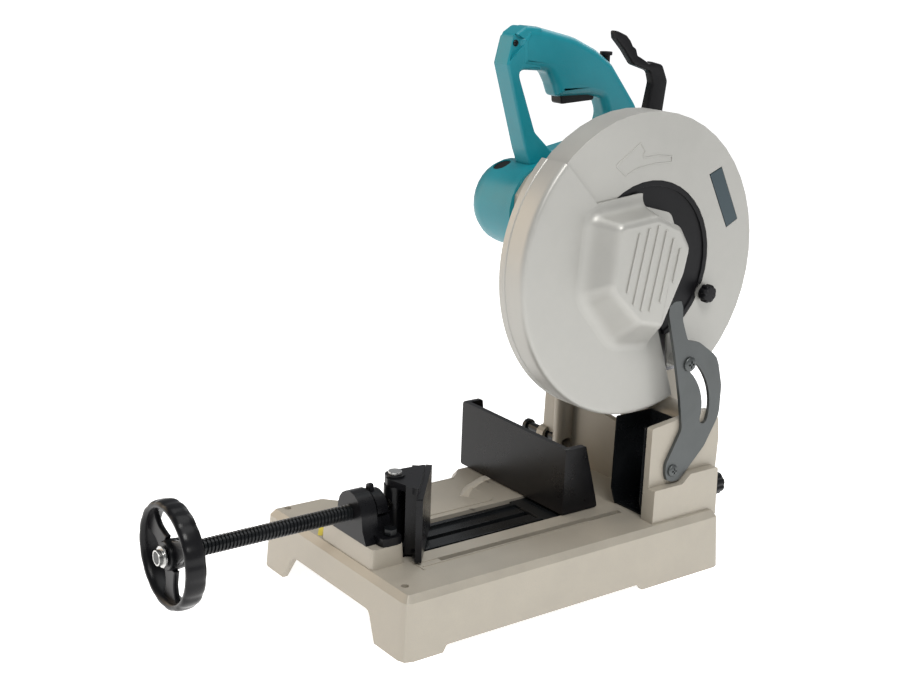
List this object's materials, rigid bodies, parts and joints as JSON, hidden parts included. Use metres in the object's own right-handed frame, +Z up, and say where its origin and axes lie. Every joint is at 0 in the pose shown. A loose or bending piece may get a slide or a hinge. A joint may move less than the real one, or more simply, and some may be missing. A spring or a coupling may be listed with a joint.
{
  "type": "metal cutting chop saw",
  "caption": "Portable metal-cutting chop saw: hinged motor head with enclosing blade guard, cast base, swinging fence and quick-release screw vise.",
  "frame": {"origin": "middle of the box's underside, on the plane the base's feet stand on", "axes": "+X to the operator's right, towards the blade guard's face; +Y from the handwheel towards the head pivot at the back; +Z up"},
  "size_m": [0.3, 0.7044, 0.6045],
  "materials": {
    "casting_paint": "warm light grey stoved paint on an aluminium casting",
    "guard_silver": "silver-grey painted die-cast guard",
    "teal_plastic": "teal glass-filled moulding, fine texture",
    "black_plastic": "black moulded plastic",
    "black_iron": "gloss black enamel on cast iron",
    "black_steel": "satin black paint on sheet or bar",
    "bright_steel": "machined, zinc bright",
    "link_steel": "dark zinc-plated stamping",
    "blade_steel": "ground disc with carbide tips",
    "carbon": "pressed carbon",
    "blank_label": "blank printed plate, no lettering"
  },
  "bodies": {
    "base": {"base_casting": "casting_paint", "guide_rail_left": "black_steel", "guide_rail_right": "black_steel", "guide_end_plate": "black_steel", "pivot_shaft": "bright_steel", "pivot_retaining_ring": "bright_steel", "link_pivot_screw": "bright_steel", "return_spring": "bright_steel", "chip_shield": "black_steel", "fence_bolt_right": "black_steel", "vise_bracket": "black_iron", "vise_bolt_left": "black_steel", "vise_bolt_right": "black_steel", "half_nut_pin": "bright_steel"},
    "head": {"gear_housing": "casting_paint", "motor_housing": "teal_plastic", "brush_cap_top": "black_plastic", "brush_cap_bottom": "black_plastic", "carbon_brush_top": "carbon", "carbon_brush_bottom": "carbon", "field_stator": "bright_steel", "armature_bearing": "bright_steel", "spindle_bearing": "bright_steel", "handle_left": "teal_plastic", "handle_right": "teal_plastic", "carry_handle": "black_plastic", "blade_case": "guard_silver", "centre_cover": "black_plastic", "slot_guide_screw": "bright_steel", "name_plate": "blank_label"},
    "safety_cover": {"safety_cover": "guard_silver"},
    "guard_link": {"guard_link": "link_steel"},
    "blade_shaft": {"spindle": "bright_steel", "spindle_gear": "bright_steel", "inner_flange": "bright_steel", "cutting_blade": "blade_steel", "outer_flange": "bright_steel", "blade_bolt": "bright_steel"},
    "idler": {"idler_gear": "bright_steel"},
    "armature": {"armature": "bright_steel", "cooling_fan": "black_plastic"},
    "fence": {"fence": "black_iron", "fence_bolt_left": "black_steel"},
    "vise_carriage": {"jaw_carriage": "black_iron", "jaw_pin": "bright_steel"},
    "vise_screw": {"vise_screw": "black_steel", "handwheel": "black_iron", "handwheel_nut": "bright_steel"},
    "swivel_jaw": {"swivel_jaw": "black_iron"},
    "half_nut": {"half_nut": "black_iron"},
    "trigger": {"trigger": "black_plastic"},
    "lock_off_button": {"lock_off_button": "black_plastic"},
    "stopper_pin": {"stopper_pin": "black_steel"},
    "rear_knob": {"rear_knob": "black_plastic"},
    "clamp_knob": {"clamp_knob": "black_plastic"}
  },
  "joints": [
    {"name": "head_pivot", "type": "hinge", "parent": "base", "child": "head", "pos_m": [0.048, 0.28375, 0.164], "axis": [1, 0, 0], "range_deg": [0, 51.2], "stiffness_Nm_per_rad": 13, "springref_deg": -68.75},
    {"name": "cover_turn", "type": "hinge", "parent": "head", "child": "safety_cover", "pos_m": [0.0874, 0.18675, 0.361], "axis": [1, 0, 0], "range_deg": [-140.9, 0]},
    {"name": "link_turn", "type": "hinge", "parent": "base", "child": "guard_link", "pos_m": [0.128, 0.22975, 0.125], "axis": [1, 0, 0], "range_deg": [0, 69.5]},
    {"name": "blade_spin", "type": "hinge", "parent": "head", "child": "blade_shaft", "pos_m": [0.0874, 0.18675, 0.361], "axis": [1, 0, 0], "continuous": true},
    {"name": "idler_spin", "type": "hinge", "parent": "head", "child": "idler", "pos_m": [0.038, 0.19074, 0.40017], "axis": [1, 0, 0], "continuous": true},
    {"name": "armature_spin", "type": "hinge", "parent": "head", "child": "armature", "pos_m": [-0.032, 0.15875, 0.401], "axis": [1, 0, 0], "continuous": true},
    {"name": "fence_swing", "type": "hinge", "parent": "base", "child": "fence", "pos_m": [0.044, 0.15775, 0.075], "axis": [0, 0, 1], "range_deg": [0, 45]},
    {"name": "vise_slide", "type": "slide", "parent": "base", "child": "vise_carriage", "axis": [0, 1, 0], "range_m": [0, 0.12]},
    {"name": "screw_turn", "type": "hinge", "parent": "vise_carriage", "child": "vise_screw", "pos_m": [0.028, -0.14625, 0.117], "axis": [0, 1, 0], "continuous": true},
    {"name": "jaw_swivel", "type": "hinge", "parent": "vise_carriage", "child": "swivel_jaw", "pos_m": [0.028, -0.07825, 0.11], "axis": [0, 0, 1], "range_deg": [-4, 84]},
    {"name": "half_nut_flip", "type": "hinge", "parent": "base", "child": "half_nut", "pos_m": [0.002, -0.10825, 0.119], "axis": [0, 1, 0], "range_deg": [-100, 0]},
    {"name": "trigger_squeeze", "type": "slide", "parent": "head", "child": "trigger", "axis": [0, 0, 1], "range_m": [0, 0.004], "stiffness_N_per_m": 1200, "springref_m": -0.002},
    {"name": "lock_off_press", "type": "slide", "parent": "head", "child": "lock_off_button", "axis": [0, 0, -1], "range_m": [0, 0.0024], "stiffness_N_per_m": 800, "springref_m": -0.001},
    {"name": "stopper_pull", "type": "slide", "parent": "base", "child": "stopper_pin", "axis": [1, 0, 0], "range_m": [0, 0.012]},
    {"name": "rear_knob_turn", "type": "hinge", "parent": "base", "child": "rear_knob", "pos_m": [0.104, 0.31375, 0.082], "axis": [0, 1, 0], "continuous": true},
    {"name": "clamp_knob_turn", "type": "hinge", "parent": "head", "child": "clamp_knob", "pos_m": [0.108, 0.28175, 0.32], "axis": [1, 0, 0], "continuous": true}
  ],
  "couplings": [
    {"joint": "cover_turn", "follows": "head_pivot", "ratio": -2.75},
    {"joint": "link_turn", "follows": "head_pivot", "ratio": 1.357},
    {"joint": "idler_spin", "follows": "blade_spin", "ratio": -2.8889},
    {"joint": "armature_spin", "follows": "blade_spin", "ratio": 8.6667}
  ]
}
